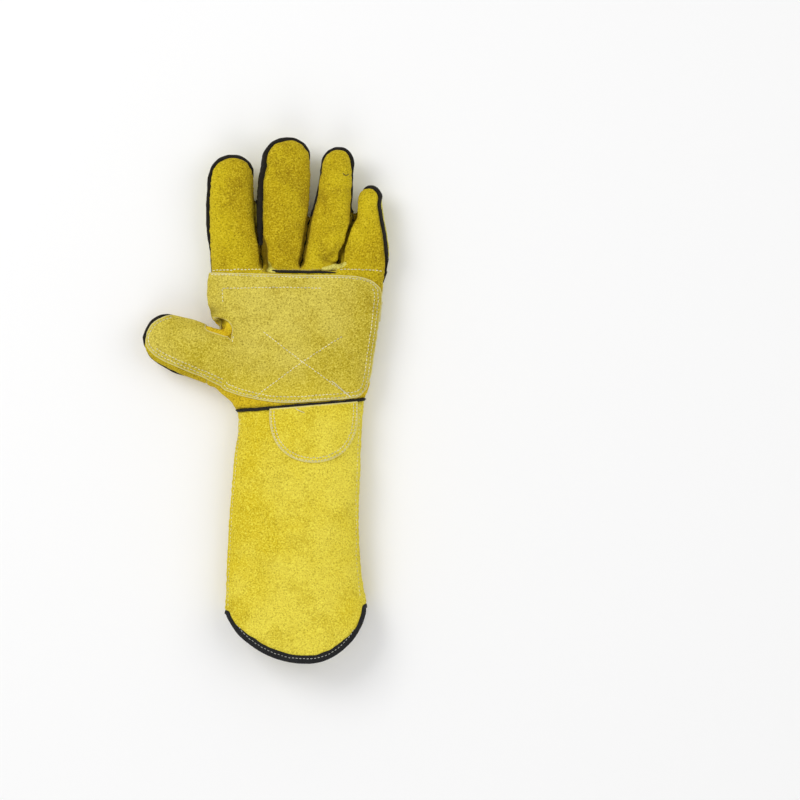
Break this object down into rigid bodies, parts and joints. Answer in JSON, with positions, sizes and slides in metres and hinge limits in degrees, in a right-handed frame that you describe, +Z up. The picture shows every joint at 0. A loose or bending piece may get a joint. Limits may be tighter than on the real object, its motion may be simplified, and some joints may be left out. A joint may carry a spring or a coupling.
{
  "type": "welding gauntlet",
  "caption": "Long left-hand split-leather gauntlet with a palm and thumb patch, knuckle strap, black piping, half-moon cuff patch and bound hem.",
  "frame": {"origin": "middle of the footprint, on the surface that the glove lies on", "axes": "+Z up out of the palm, +Y towards the fingertips, -X towards the thumb"},
  "size_m": [0.1906, 0.3996, 0.0403],
  "materials": {
    "mustard_suede": "napped split leather, mustard",
    "patch_suede": "napped split leather, khaki yellow",
    "pale_suede": "napped split leather, pale yellow-green",
    "cuff_suede": "napped split leather, bright yellow",
    "orange_suede": "napped split leather, orange yellow",
    "black_piping": "matt black piping",
    "black_binding": "woven black tape with pale stitches"
  },
  "bodies": {
    "root": {"palm": "mustard_suede", "middle_front": "mustard_suede", "ring_front": "mustard_suede", "thumb_front": "mustard_suede", "palm_patch": "patch_suede", "crotch_tab": "orange_suede", "finger_backs": "pale_suede", "hand_back": "pale_suede", "knuckle_strap": "pale_suede", "thumb_back": "orange_suede", "thumb_side_panel": "orange_suede", "index_welt": "black_piping", "middle_welt": "black_piping", "ring_welt": "black_piping", "little_welt": "black_piping", "thumb_welt": "black_piping", "base_welt": "black_piping", "wrist_welt": "black_piping", "cuff_front": "cuff_suede", "cuff_back": "cuff_suede", "cuff_patch": "cuff_suede", "hem_binding": "black_binding"}
  },
  "joints": []
}
